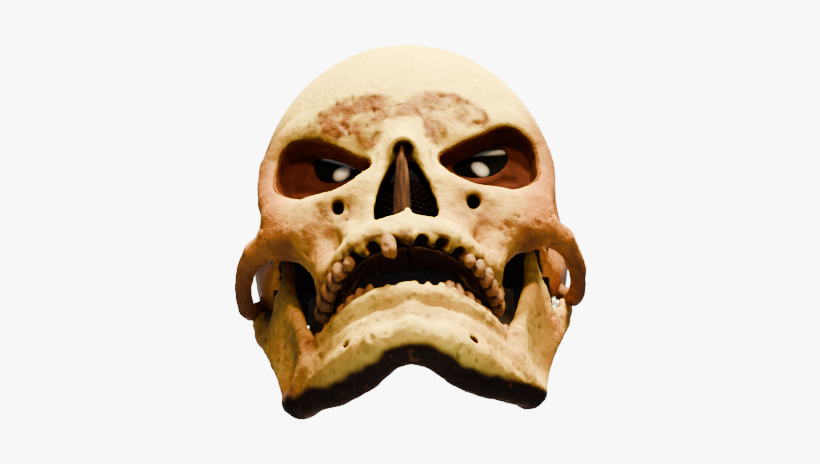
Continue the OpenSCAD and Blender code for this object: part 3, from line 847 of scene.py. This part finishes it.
def build_eyes():
    """Glossy domed lenses behind the holes in the sockets, each painted with a bold pale highlight."""
    rings = 26
    shares = [1.0] + [math.cos(math.pi / 2 * k / rings) for k in range(rings)]
    for side, name in SIDES:
        outline = rounded(LENS[side], 3)
        middle = outline.mean(0)
        outline = middle + (outline - middle) * 1.10
        around = len(outline)
        points = dome_points(side, outline, middle, shares)
        last, tip, back = rings * around, len(points), len(points) + 1
        points += [tuple(np.mean(points[-around:], 0)), tuple(np.mean(points[:around], 0))]
        points = np.array(points)
        faces = []
        for i in range(around):
            j = (i + 1) % around
            faces += [(k + i, k + j, k + around + j, k + around + i) for k in range(0, last, around)]
            faces += [(last + i, last + j, tip), (j, i, back)]
        piece = make_mesh("eye_lens_" + name, points, faces, eye_paint(points, side))
        orient(piece)
        declare(piece, "eye_lens_" + name, "root")


# Each eye's round highlight, and the two ends of the paler gleam along its top
EYE_SPOTS = {LEFT: ((-36, -103, 27), (-46, -99, 45), (-27, -105, 31)),
             RIGHT: ((43, -101, 28), (36, -103, 38), (58, -97, 49))}


def eye_paint(points, side):
    """Black, with a pale gleam along the top and a round highlight."""
    colours = np.full((len(points), 3), 0.0015)
    blob, one_end, other_end = EYE_SPOTS[side]
    gleam = chain([(*one_end, 0.3), (*other_end, 2.2)])[2](points[:, 0], points[:, 1], points[:, 2])
    colours = tint(colours, 0.9 * unit(1 - gleam / 2.2), (0.45, 0.47, 0.48))
    return tint(colours, spot(points, blob, (2.8, 8, 3.0), 0.9), (0.9, 0.92, 0.93))


# ---------------------------------------------------------------- jaw

def level(line, z):
    """The point of a line of points at a height."""
    p = np.array(line, float)
    order = np.argsort(p[:, 2])
    return [float(np.interp(z, p[order, 2], p[order, i])) for i in range(len(p[0]))]


RAMUS_FRONT = [(71, -54, -12, 4), (68.5, -57, -28, 4.2), (64, -60, -44, 4.3), (60.5, -63, -60, 4.6),
               (56, -66, -76, 6), (51, -67, -94, 8)]
RAMUS_BACK = [(86.5, -19, -18, 4.5), (81, -26, -36, 5), (74, -33, -56, 5), (69, -36, -74, 5.5),
              (65, -41, -90, 7), (60.5, -47, -98, 8)]


def jaw_form():
    """The outside of the jaw: the body, the chin and the two blades that rise to the hinges."""
    clay = Clay((-98, -130, -134), (98, 2, 10), VOXEL * 0.92)
    clay.tubes([
        (0, -110, -111, 11), (12, -108, -112, 11.5), (22, -100, -112, 12), (32, -90, -110, 11),
        (41, -78, -107, 10), (50, -66, -103, 9), (58, -54, -99, 9), (63, -45, -93, 8.5)], 5)
    # the thick underside
    clay.tubes([
        (0, -109, -118, 5.5), (13, -101, -118, 6.5), (22, -91, -118, 7), (29, -84, -117.5, 7),
        (40, -72, -113, 7), (51, -60, -105, 7), (60, -49, -97, 7)], 5)
    clay.tubes([
        (0, -113, -85, 6.5), (15, -111, -84, 6.5), (26, -103, -83, 6.5), (35, -92, -82, 7),
        (43, -79, -81, 7), (50, -67, -79, 7)], 6)
    clay.tubes([
        (0, -110, -100, 8), (15, -108, -100, 8), (27, -98, -98, 8), (38, -86, -96, 7.5),
        (48, -72, -93, 7.5), (57, -60, -91, 7.5)], 6)
    # chin
    clay.add(chain([(0, -113, -103, 5), (0, -115, -112, 7.5)]), 7)
    clay.tubes([(4, -114.5, -115, 8), (15, -111.5, -117, 8.5)], 6)
    clay.dents((12, -124, -101), (10, 7, 9), 7)
    # the flat blade that rises to the hinge
    for z in range(-96, -16, 6):
        clay.tubes([
            (level(RAMUS_FRONT, z)[0], *level(RAMUS_FRONT, z)[1:]),
            (level(RAMUS_BACK, z)[0], *level(RAMUS_BACK, z)[1:])], 5)
    clay.tubes([
        (85, -21, -22, 5), (88, -17.5, -10, 6), (88.5, -16, -6, 6.5)], 4, (0.85, 1.15, 1))
    clay.tubes([
        (70, -55, -14, 4.6), (69.5, -55.5, -4, 4.6), (69.5, -55, 0, 4.2)], 4, (0.85, 1.1, 1))
    clay.dents((79, -37, -14), (22, 9, 11), 4)
    clay.dents((80, -58, -72), (14, 16, 22), 10)
    return clay


def hinge_pocket(clay):
    """Room for the bracket, the plate and the pivot's head on each side."""
    x, y, z = clay.coordinates()
    y, z, side = y - HINGE_Y, z - HINGE_Z, np.abs(x)
    lean = math.radians(-17)
    along = -z * math.cos(lean) + y * math.sin(lean)
    across = y * math.cos(lean) + z * math.sin(lean)
    strip = np.maximum(np.abs(across) - 6.5, np.maximum(-8 - along, along - 32.5))
    lug = np.sqrt(y ** 2 + z ** 2)
    plate = np.maximum(np.minimum(strip, lug - 9.2), np.maximum(70 - side, side - 84.05))
    head = np.maximum(lug - 7.3, np.maximum(70 - side, side - 86.4))
    clay.trim(-np.minimum(plate, head))


def jaw_paint(clay, points, normals):
    """Cream at the chin, browner towards the back, with painted shade darker on the left, on the inner
    faces, round the coronoid and in the hollows, and a painted shadow nearly black underneath.
    """
    x, y, z = points.T
    wide = np.abs(x)
    back = unit((wide - 14) / 40)
    # painted shadow on the underside: it starts at this height in the picture, which is seen from below
    edge = np.interp(wide, (0, 12, 24, 36, 50, 65, 78), (3.4, 0.5, -6, -12.5, -19, -25, -31))
    underside_shade = unit((edge + 0.725 * y - 0.688 * z + 2.5 * noise(points, 9, 153)) / 7)
    underside_shade = underside_shade * unit((-84 - z) / 8)
    # painted shade on the faces turned inwards
    inner = unit(normals[:, 1] * 1.3 - 0.2) * np.clip((80 - wide) / 14, 0.3, 1)
    ridge = unit((z + 88) / 8) * unit((-64 - y) / 8)
    # painted shade round the coronoid, stronger on the left
    coronoid_shade = unit((z + 34) / 20) * unit((78 - wide) / 6)
    layers = [(0.10 + 0.62 * back + 0.50 * worn(points, 151), TAN),
              # painted shade: the left side darker
              (0.45 * unit(-x / 70) * back, BROWN * 1.6),
              (1.6 * underside_shade, BROWN),
              (np.clip(2 * underside_shade - 0.5, 0, 0.97), DARK),
              (0.85 * inner, BROWN),
              (ridge * unit(0.35 + 0.7 * noise(points, 3.5, 155)), BROWN)]
    for s in (LEFT, RIGHT):
        # painted shade in the chin's hollows and the hollows on the jaw's sides
        fossa_shade = spot(points, (s * 11, -117, -97), (11, 9, 8), 0.6)
        side_hollow_shade = spot(points, (s * 40, -88, -96), (16, 16, 9), 0.7)
        layers += [(0.6 * fossa_shade, PATCH), (0.45 * side_hollow_shade * unit(0.7 + noise(points, 7, 159)), PATCH)]
    layers += [(coronoid_shade * np.where(x < 0, 0.85, 0.2), BROWN),
               ((clay.shade(points, normals, 7) - 0.35) * 1.5, BROWN),
               (0.7 * pits(points, 3.4, 157, 0.56), BROWN)]
    return layered(np.tile(CREAM, (len(points), 1)), layers)


def build_jaw():
    """The jaw with its nerve holes, empty tooth sockets, and room for the cup, elastics and hinges."""
    clay = jaw_form()
    clay.tubes([(34, -112, -110, 2.4), (32, -94, -106, 1.8)], 2, cut=True)
    clay.cut(ellipsoid((-12, -119, -94), (2.2, 4, 2.6)), 1.5)
    for tx, ty in LOWER_GAPS:
        clay.cut(ellipsoid((tx, ty + 2, -77), (2.8, 3.6, 6)), 1.5)
        clay.add(ellipsoid((tx + 3.5, ty + 1, -80), (2.2, 3.2, 4.5)), 2)
    x, y, z = clay.coordinates()
    cup = grown(CHIN_CUP, 0.3)[2](x, y, z)
    clay.trim(-np.maximum(cup, np.abs(z + 95) - 17.3))
    # room beside the elastics
    clay.tubes([(*STUD_HIGH, CORD_R + 0.9), (*STUD_LOW, CORD_R + 0.9)], 0.5, cut=True)
    clay.dents(STUD_LOW, STUD_ROOM, 0.5)
    hinge_pocket(clay)
    finish_clay("jaw_shell", clay, "jaw", jaw_paint, 1.5, 161)


# ---------------------------------------------------------------- soft pieces

FOAM = np.array((0.020, 0.020, 0.022))
PIPING = np.array((0.045, 0.044, 0.046))


def inner_skin(x, y, z):
    """The distance to the inside of the skull's wall, negative where the head goes."""
    crown = ellipsoid(*CRANIUM_ROOM)[2](x, y, z)
    forehead = ellipsoid(*FOREHEAD_ROOM)[2](x, y, z)
    return smooth_min(crown, forehead, 12)


def rounded_box(u, v, centre, half, corner):
    """Signed distance in a plane to a rectangle with round corners."""
    du = np.abs(u - centre[0]) - half[0] + corner
    dv = np.abs(v - centre[1]) - half[1] + corner
    outside = np.sqrt(np.maximum(du, 0) ** 2 + np.maximum(dv, 0) ** 2)
    return outside + np.minimum(np.maximum(du, dv), 0) - corner


def smooth_max(a, b, k):
    """The larger of two distances, with the corner rounded over k."""
    return -smooth_min(-a, -b, k)


PAD_VOXEL = 1.0


def build_pad(form, name, clay, outline, thick, channel):
    """A crowned foam pad on the inside of the skull, with piping round it and one sewn channel."""
    x, y, z = clay.coordinates()
    wall = clay.sampled(form) + 3.2
    skin = np.maximum(inner_skin(x, y, z), wall) + 0.4
    edge = outline(x, y, z)
    sewn = np.exp(-(channel(x, y, z) / 2.2) ** 2)
    crown = 0.50 + 0.48 * np.sqrt(unit(-edge / 16)) - 0.22 * sewn * unit(-edge / 5)
    body = smooth_max(skin, -(skin + thick * crown), 4)
    body = smooth_max(body, edge + 1.2, 5)
    piping = np.sqrt(edge ** 2 + (skin + 0.28 * thick) ** 2) - 1.5
    clay.field = np.minimum(body, piping).astype(np.float32)

    def paint(clay, points, normals):
        px, py, pz = points.T
        colours = mottled(points, FOAM, 0.2, 171)
        return tint(colours, unit(outline(px, py, pz) + 1.6), PIPING)
    piece = finish_clay(name, clay, "root", paint)


def build_pads(form):
    """The forehead, crown and temple pads. Each has its block, outline, thickness and sewn channel."""
    build_pad(form, "forehead_pad", Clay((-50, -136, 66), (50, -56, 112), PAD_VOXEL),
              lambda x, y, z: rounded_box(x, z, (0, 89), (43, 15.5), 12), 17, lambda x, y, z: x)
    build_pad(form, "crown_pad", Clay((-46, -42, 118), (46, 52, 166), PAD_VOXEL),
              lambda x, y, z: np.sqrt(x ** 2 + (y - 5) ** 2) - 40, 11.5, lambda x, y, z: x)
    for side, name in SIDES:
        build_pad(form, "temple_pad_" + name, side_clay(side, (50, -66, 54), (96, -12, 96), PAD_VOXEL),
                  lambda x, y, z: rounded_box(y, z, (-39, 75), (21, 15), 9), 8.6, lambda x, y, z: y + 39)


def build_chin_cup():
    """A soft cup for the wearer's chin, piped along its upper edge."""
    clay = Clay((-40, -112, -102), (40, -66, -74), 0.8)
    x, y, z = clay.coordinates()
    outer = ellipsoid(*CHIN_CUP)[2](x, y, z) + 0.5
    inner = ellipsoid((0, -82, -76), (29, 19, 14))[2](x, y, z)
    body = smooth_max(smooth_max(outer, -inner, 2), z + 79, 2)
    piping = np.sqrt((z + 80) ** 2 + (outer + 1.6) ** 2) - 1.5
    clay.field = np.maximum(np.minimum(body, piping), y + 72.6).astype(np.float32)

    def paint(clay, points, normals):
        colours = mottled(points, FOAM, 0.2, 173)
        return tint(colours, unit(points[:, 2] + 82), PIPING)
    piece = finish_clay("chin_cup", clay, "jaw", paint)


def even(line, step, passes):
    """A line of points at even steps, with its corners eased."""
    p = np.array(line, float)
    for count in (0, passes):
        along = np.concatenate([[0], np.cumsum(np.linalg.norm(np.diff(p, axis=0), axis=1))])
        where = np.linspace(0, along[-1], max(int(round(along[-1] / step)), 2) + 1)
        p = np.stack([np.interp(where, along, p[:, i]) for i in range(p.shape[1])], 1)
        for _ in range(count):
            p[1:-1] = 0.25 * p[:-2] + 0.5 * p[1:-1] + 0.25 * p[2:]
    return p


def cloth(name, middle, thickness, colours):
    """A closed piece of cloth, from a grid of points down its middle."""
    down = np.gradient(middle, axis=0)
    over = np.gradient(middle, axis=1)
    normals = np.cross(down, over)
    normals /= np.maximum(np.linalg.norm(normals, axis=2, keepdims=True), 1e-9)
    reach = normals * (thickness / 2)[..., None]
    points = np.concatenate([(middle + reach).reshape(-1, 3), (middle - reach).reshape(-1, 3)])
    rows, columns = middle.shape[:2]
    count = rows * columns
    index = np.arange(count).reshape(rows, columns)
    corners = (index[:-1, :-1], index[:-1, 1:], index[1:, 1:], index[1:, :-1])
    a, b, c, d = (corner.ravel() for corner in corners)
    faces = np.concatenate([np.stack([a, b, c, d], 1), np.stack([d, c, b, a], 1) + count]).tolist()
    border = np.concatenate([index[0, :-1], index[:-1, -1], index[-1, :0:-1], index[:0:-1, 0]])
    for i, j in zip(border, np.roll(border, -1)):
        faces.append((i, i + count, j + count, j))
    piece = make_mesh(name, points, faces, np.concatenate([colours.reshape(-1, 3)] * 2))
    orient(piece)
    return piece


def band(name, line, across, wide, thick):
    """Ribbed elastic webbing along a line, with a firm edge down each side."""
    path = even(line, 0.8, 6)
    along = np.concatenate([[0], np.cumsum(np.linalg.norm(np.diff(path, axis=0), axis=1))])
    side = np.linspace(-1, 1, 31)
    middle = path[:, None, :] + np.array(across, float) * (side * wide / 2)[None, :, None]
    rib = np.sin(2 * math.pi * along / 2.4)[:, None] * np.where(np.abs(side) < 0.86, 1, 0)
    thickness = thick * (0.88 + 0.10 * rib)
    shade = 1 + 0.35 * rib + 0.5 * (np.abs(side) > 0.86)
    colours = np.array((0.016, 0.016, 0.018)) * shade[..., None]
    return cloth(name, middle, thickness, colours), along[-1]


def skin_x(y, z):
    """How far out webbing lies on the inside of the skull's side."""
    (_, _, up), (wide, deep, tall) = CRANIUM_ROOM
    return wide * math.sqrt(1 - (y / deep) ** 2 - ((z - up) / tall) ** 2) - 2.2


def skin_z(y):
    """How high webbing lies on the inside of the skull's top, along the middle."""
    (_, _, up), (_, deep, tall) = CRANIUM_ROOM
    return up + tall * math.sqrt(1 - (y / deep) ** 2) - 1.9


def build_straps():
    """The band round the back of the head, and the strap from it up to the crown."""
    tab = [(skin_x(y, 64), y, 64) for y in (21.5, 26, 31, 36, 40)]
    line = [(-x, y, z) for x, y, z in tab] + [(-82, 46.2, 64), (82, 46.2, 64)] + tab[::-1]
    piece, length = band("head_band", line, (0, 0, 1), WEBBING_WIDE, 1.6)
    declare(piece, "head_band", "root")
    line = [(0, 48.5, 68), (0, 98.5, 116.6)] + [(0, y, skin_z(y)) for y in (97, 93, 88, 82)]
    piece, length = band("crown_strap", line, (1, 0, 0), WEBBING_WIDE, 1.5)
    declare(piece, "crown_strap", "root")


DRAPE = [(0, -97, -59.7, 18), (16, -94, -59.7, 18), (28, -85.5, -59.7, 18), (37, -75, -59, 19),
         (45, -63, -57, 26), (52, -53, -51, 30), (58, -43.5, -46, 30)]


def build_drape():
    """The stretch knit behind the mouth, hemmed above and below, that joins the skull to the jaw."""
    path = even([(-x, y, z, h) for x, y, z, h in DRAPE[:0:-1]] + DRAPE, 1.0, 8)
    side = np.linspace(-1, 1, 49)
    middle = np.zeros((len(path), len(side), 3))
    middle[..., 0] = path[:, 0, None]
    middle[..., 1] = path[:, 1, None]
    middle[..., 2] = path[:, 2, None] + path[:, 3, None] * side
    flat = middle.reshape(-1, 3)
    pull = noise(flat * np.array((0.25, 0.25, 1)), 4.5, 181) * unit(1.1 - np.abs(np.tile(side, len(path))))
    middle[..., 1] += 0.7 * pull.reshape(middle.shape[:2])
    to_edge = path[:, 3, None] * (1 - np.abs(side))
    hem = to_edge < 3.2
    thickness = np.where(hem, 1.7, 1.0) - 0.5 * (np.abs(to_edge - 3.2) < 0.5)
    colours = mottled(flat, (0.016, 0.0085, 0.007), 0.3, 183)
    piece = cloth("mouth_drape", middle, thickness, colours)
    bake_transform(piece)
    declare(piece, "mouth_drape")


def build_elastics():
    """Braided elastic between the studs of the skull and the jaw, with a loop round each stud."""
    for s, name in SIDES:
        high, low = (np.array(stud, float) * (s, 1, 1) for stud in (STUD_HIGH, STUD_LOW))
        clay = Clay(np.minimum(high, low) - 7.5, np.maximum(high, low) + 7.5, 0.45)
        run = (low - high) / np.linalg.norm(low - high)
        clay.add(chain([(*(high + run * 4.2), CORD_R), (*(low - run * 4.2), CORD_R)]))
        x, y, z = clay.coordinates()
        for stud in (high, low):
            reach = np.sqrt((y - stud[1]) ** 2 + (z - stud[2]) ** 2) - 3.9
            clay.field = smooth_min(clay.field, np.sqrt(reach ** 2 + (x - stud[0]) ** 2) - CORD_R, 0.8)
        clay.field = clay.field.astype(np.float32)
        points, faces, normals = clay.skin()
        along = (points - high) @ run
        turn = np.arctan2(points[:, 1] - high[1] - along * run[1], points[:, 0] - high[0] - along * run[0])
        braid = np.sin(4 * turn + 2 * math.pi * along / 5) * np.sin(4 * turn - 2 * math.pi * along / 5)
        colours = np.array((0.020, 0.020, 0.022)) * (1 + 0.6 * braid)[:, None]
        piece = make_mesh("jaw_elastic_" + name, points + normals * 0.10 * braid[:, None], faces, colours)
        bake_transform(piece)
        declare(piece, "jaw_elastic_" + name)


# ---------------------------------------------------------------- materials

def set_inputs(node, **values):
    """Sets inputs by name, with underscores for the spaces."""
    for name, value in values.items():
        node.inputs[name.replace("_", " ")].default_value = value


def add_node(tree, kind, **values):
    """A new shader node with the values of its inputs."""
    node = tree.nodes.new("ShaderNode" + kind)
    set_inputs(node, **values)
    return node


def material(name, roughness, colour=None, bump=(), metallic=0.0, shine=0.5, variation=0.0, sheen=0.0,
             stretch=(1, 1, 1)):
    """A procedural surface. Without a colour it takes the painted one. bump lists (scale, height in mm)."""
    mat = bpy.data.materials.new(name)
    mat.use_nodes = True
    tree, links = mat.node_tree, mat.node_tree.links
    shader = tree.nodes["Principled BSDF"]
    set_inputs(shader, Roughness=roughness, Metallic=metallic, Specular_IOR_Level=shine, Sheen_Weight=sheen)
    place = add_node(tree, "NewGeometry")
    scaled = add_node(tree, "Mapping", Scale=stretch)
    links.new(place.outputs["Position"], scaled.inputs["Vector"])
    if colour is None:
        paint = add_node(tree, "Attribute")
        paint.attribute_name = "paint"
        base = paint.outputs["Color"]
    else:
        flat = add_node(tree, "RGB")
        flat.outputs[0].default_value = (*colour, 1)
        base = flat.outputs[0]
    if variation:
        base = varied(tree, scaled, base, variation)
    links.new(base, shader.inputs["Base Color"])
    last = None
    for scale, height in bump:
        grain = add_node(tree, "TexNoise", Scale=scale, Detail=4)
        links.new(scaled.outputs[0], grain.inputs["Vector"])
        relief = add_node(tree, "Bump", Strength=1.0, Distance=height * MM)
        links.new(grain.outputs["Fac"], relief.inputs["Height"])
        if last:
            links.new(last, relief.inputs["Normal"])
        last = relief.outputs[0]
    if last:
        links.new(last, shader.inputs["Normal"])
    return mat


def varied(tree, scaled, base, variation):
    """A colour made lighter and darker by a fine cloud."""
    cloud = add_node(tree, "TexNoise", Scale=190, Detail=5)
    tree.links.new(scaled.outputs[0], cloud.inputs["Vector"])
    span = add_node(tree, "MapRange", From_Min=0.3, From_Max=0.7,
                    To_Min=1 - variation, To_Max=1 + variation)
    tree.links.new(cloud.outputs["Fac"], span.inputs["Value"])
    mix = add_node(tree, "VectorMath")
    mix.operation = "SCALE"
    tree.links.new(base, mix.inputs[0])
    tree.links.new(span.outputs[0], mix.inputs["Scale"])
    return mix.outputs[0]


def make_materials():
    """One material for each slot of the record."""
    bone = material("painted bone latex", 0.7, shine=0.08, variation=0.14, bump=((260, 0.8), (900, 0.35)))
    return {
        "skull_latex": bone,
        "jaw_latex": bone,
        "socket_latex": material("painted socket latex", 0.8, shine=0.0, variation=0.15,
                                 bump=((300, 0.3),)),
        "septum_latex": material("painted septum latex", 0.8, shine=0.02, variation=0.1,
                                 bump=((700, 0.2),)),
        "teeth": material("painted tooth latex", 0.6, shine=0.14, variation=0.12, bump=((500, 0.2),)),
        "eye_lens": material("gloss black lens", 0.09, shine=0.12),
        "lens_ring": material("matte black ring", 0.5, (0.012, 0.012, 0.013), bump=((900, 0.1),)),
        "dark_liner": material("dark liner", 0.8, shine=0.05, variation=0.2, bump=((400, 0.3),)),
        "dark_mesh": material("dark mesh", 1.0, shine=0.0),
        "pad_foam": material("knitted pad cover", 0.9, variation=0.12, sheen=0.4, bump=((1600, 0.25),)),
        "hinge_steel": material("blackened steel", 0.38, (0.10, 0.10, 0.105), metallic=1.0, variation=0.06,
                                bump=((500, 0.05),), stretch=(1, 1, 0.06)),
        "rivet_metal": material("blackened rivets", 0.4, (0.09, 0.085, 0.08), metallic=1.0,
                                bump=((700, 0.03),)),
        "washer_plastic": material("black nylon", 0.5, (0.02, 0.02, 0.02), bump=((800, 0.03),)),
        "webbing": material("woven webbing", 0.85, variation=0.15, sheen=0.3),
        "slider_plastic": material("black plastic", 0.35, (0.015, 0.015, 0.016), bump=((1100, 0.06),)),
        "drape_fabric": material("stretch knit", 0.9, variation=0.2, sheen=0.2, bump=((2200, 0.2),)),
        "elastic_cord": material("braided cord", 0.7, variation=0.2),
    }


def dress(materials):
    """Gives every shown object its slot's material."""
    slots = {part["node"]: part["material_slot"] for part in frame["record"]["subparts"]}
    for node, thing in frame["nodes"].items():
        if not thing.hide_render:
            for spare in thing.material_slots:
                spare.material = materials[slots[node]]
    for thing in bpy.context.scene.objects:
        if thing.type == "MESH" and thing.name not in frame["nodes"] and thing.get("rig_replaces"):
            node = thing["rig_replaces"][0]
            thing.data.materials.clear()
            thing.data.materials.append(materials[slots[node]])


# ---------------------------------------------------------------- surroundings

def build_floor():
    """A pale floor far below, out of the main view."""
    floor = make_mesh("floor", np.array([(-9000, -9000, -1150), (9000, -9000, -1150), (9000, 9000, -1150),
                                         (-9000, 9000, -1150)], float), [(0, 1, 2, 3)], smooth=False)
    floor.data.materials.append(material("floor", 0.9, (0.62, 0.61, 0.60)))


# name, place, size, power, colour
LAMPS = [("top", (0.40, -1.2, 1.9), 0.5, 9.0, (1.0, 0.94, 0.48)),
         ("key", (0.35, -2.3, 0.85), 0.4, 1.4, (1.0, 0.64, 0.28)),
         ("back", (0.0, 2.2, 0.8), 1.5, 0.4, (1.0, 0.97, 0.92))]
BEAM = math.radians(16)


def build_lights():
    """A strong soft light from above and in front, a warm key and a weak back light."""
    for name, place, size, power, colour in LAMPS:
        data = bpy.data.lights.new(name, "AREA")
        data.size, data.energy, data.color, data.spread = size, power, colour, BEAM
        lamp = bpy.data.objects.new(name, data)
        lamp.location = place
        aim = Vector((0, -0.05, 0.02)) - Vector(place)
        lamp.rotation_euler = aim.to_track_quat("-Z", "Y").to_euler()
        bpy.context.collection.objects.link(lamp)


def build_sky():
    """A sky that is bright only round one direction, behind and above the mask."""
    world = bpy.data.worlds.new("sky")
    bpy.context.scene.world = world
    world.use_nodes = True
    tree, links = world.node_tree, world.node_tree.links
    direction = add_node(tree, "TexCoord")
    facing = add_node(tree, "VectorMath")
    facing.operation = "DOT_PRODUCT"
    facing.inputs[1].default_value = (0, 0.688, 0.725)
    links.new(direction.outputs["Generated"], facing.inputs[0])
    bright = add_node(tree, "MapRange", From_Min=0.90, From_Max=0.965, To_Min=0.07, To_Max=9.0)
    bright.interpolation_type = "SMOOTHSTEP"
    links.new(facing.outputs["Value"], bright.inputs["Value"])
    links.new(bright.outputs[0], tree.nodes["Background"].inputs["Color"])


build_floor()
build_lights()
build_sky()
form = build_skull()
build_sockets(form)
for arch_side, arch_name in SIDES:
    build_arch(arch_side, arch_name, form)
build_teeth()
build_palate()
build_nasal_mesh()
build_septum()
build_eyes()
build_jaw()
build_pads(form)
build_chin_cup()
build_straps()
build_drape()
build_elastics()
dress(make_materials())
